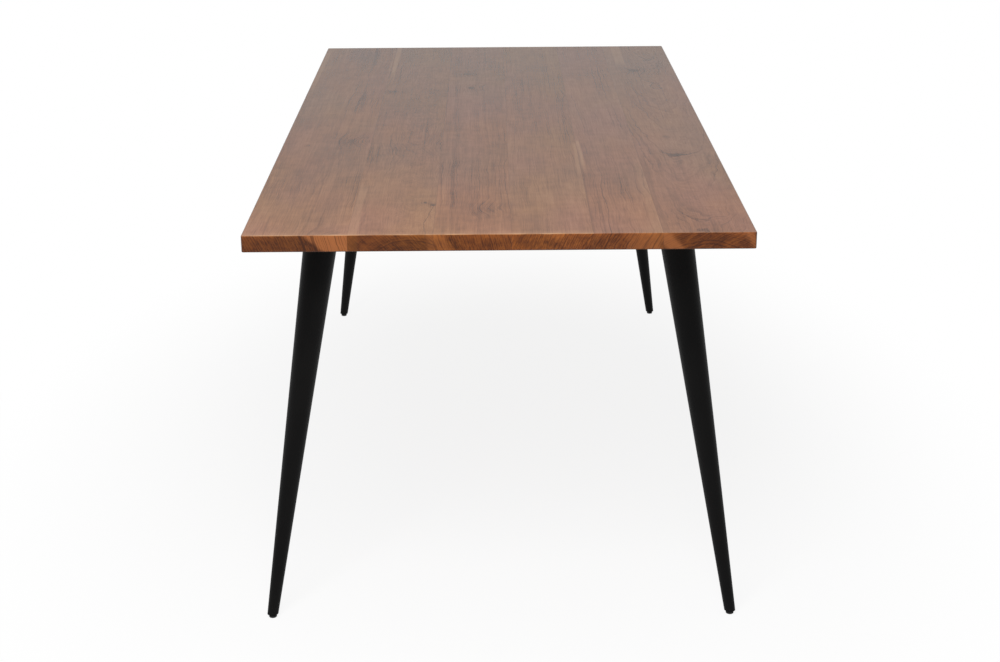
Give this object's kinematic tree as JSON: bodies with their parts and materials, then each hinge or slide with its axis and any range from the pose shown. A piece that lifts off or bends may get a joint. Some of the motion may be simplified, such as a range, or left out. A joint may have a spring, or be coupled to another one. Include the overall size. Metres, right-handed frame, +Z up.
{
  "type": "dining table",
  "caption": "Rectangular dining table with an edge-glued solid plank top on splayed, tapered round steel legs with screw-adjustable levelling feet.",
  "frame": {"origin": "on the floor, under the middle of the top", "axes": "+Z up, +Y along the length towards the rear end, +X along the width to the right"},
  "size_m": [0.9, 1.8, 0.755],
  "materials": {
    "plank_wood": "brown-stained hardwood, satin lacquer",
    "dowel_wood": "raw beech",
    "black_powder_coat": "fine-textured matt black powder coat",
    "zinc_steel": "zinc plated",
    "black_steel": "black oxide",
    "black_nylon": "moulded nylon"
  },
  "bodies": {
    "table": {"top_board_1": "plank_wood", "top_board_2": "plank_wood", "top_board_3": "plank_wood", "top_board_4": "plank_wood", "top_board_5": "plank_wood", "top_board_6": "plank_wood", "stiffener_channel_front": "black_powder_coat", "stiffener_channel_middle": "black_powder_coat", "stiffener_channel_rear": "black_powder_coat", "leg_tube_front_left": "black_powder_coat", "leg_tube_front_right": "black_powder_coat", "leg_tube_rear_left": "black_powder_coat", "leg_tube_rear_right": "black_powder_coat", "mounting_plate_front_left": "black_powder_coat", "mounting_plate_front_right": "black_powder_coat", "mounting_plate_rear_left": "black_powder_coat", "mounting_plate_rear_right": "black_powder_coat", "foot_plug_front_left": "zinc_steel", "foot_plug_front_right": "zinc_steel", "foot_plug_rear_left": "zinc_steel", "foot_plug_rear_right": "zinc_steel", "board_dowels": "dowel_wood", "channel_screws": "zinc_steel", "threaded_inserts": "zinc_steel", "leg_washers": "zinc_steel", "leg_bolts": "black_steel"},
    "foot_front_left": {"foot_pad_front_left": "black_nylon"},
    "screw_front_left": {"foot_screw_front_left": "zinc_steel"},
    "foot_front_right": {"foot_pad_front_right": "black_nylon"},
    "screw_front_right": {"foot_screw_front_right": "zinc_steel"},
    "foot_rear_left": {"foot_pad_rear_left": "black_nylon"},
    "screw_rear_left": {"foot_screw_rear_left": "zinc_steel"},
    "foot_rear_right": {"foot_pad_rear_right": "black_nylon"},
    "screw_rear_right": {"foot_screw_rear_right": "zinc_steel"}
  },
  "joints": [
    {"name": "foot_travel_front_left", "type": "slide", "parent": "table", "child": "foot_front_left", "axis": [0, 0, -1], "range_m": [0, 0.008]},
    {"name": "foot_turn_front_left", "type": "hinge", "parent": "foot_front_left", "child": "screw_front_left", "pos_m": [-0.432, -0.879, 0], "axis": [0, 0, -1], "range_deg": [0, 2881]},
    {"name": "foot_travel_front_right", "type": "slide", "parent": "table", "child": "foot_front_right", "axis": [0, 0, -1], "range_m": [0, 0.008]},
    {"name": "foot_turn_front_right", "type": "hinge", "parent": "foot_front_right", "child": "screw_front_right", "pos_m": [0.432, -0.879, 0], "axis": [0, 0, -1], "range_deg": [0, 2881]},
    {"name": "foot_travel_rear_left", "type": "slide", "parent": "table", "child": "foot_rear_left", "axis": [0, 0, -1], "range_m": [0, 0.008]},
    {"name": "foot_turn_rear_left", "type": "hinge", "parent": "foot_rear_left", "child": "screw_rear_left", "pos_m": [-0.432, 0.879, 0], "axis": [0, 0, -1], "range_deg": [0, 2881]},
    {"name": "foot_travel_rear_right", "type": "slide", "parent": "table", "child": "foot_rear_right", "axis": [0, 0, -1], "range_m": [0, 0.008]},
    {"name": "foot_turn_rear_right", "type": "hinge", "parent": "foot_rear_right", "child": "screw_rear_right", "pos_m": [0.432, 0.879, 0], "axis": [0, 0, -1], "range_deg": [0, 2881]}
  ],
  "couplings": [
    {"joint": "foot_turn_front_left", "follows": "foot_travel_front_left", "rad_per_m": 6283.2},
    {"joint": "foot_turn_front_right", "follows": "foot_travel_front_right", "rad_per_m": 6283.2},
    {"joint": "foot_turn_rear_left", "follows": "foot_travel_rear_left", "rad_per_m": 6283.2},
    {"joint": "foot_turn_rear_right", "follows": "foot_travel_rear_right", "rad_per_m": 6283.2}
  ]
}
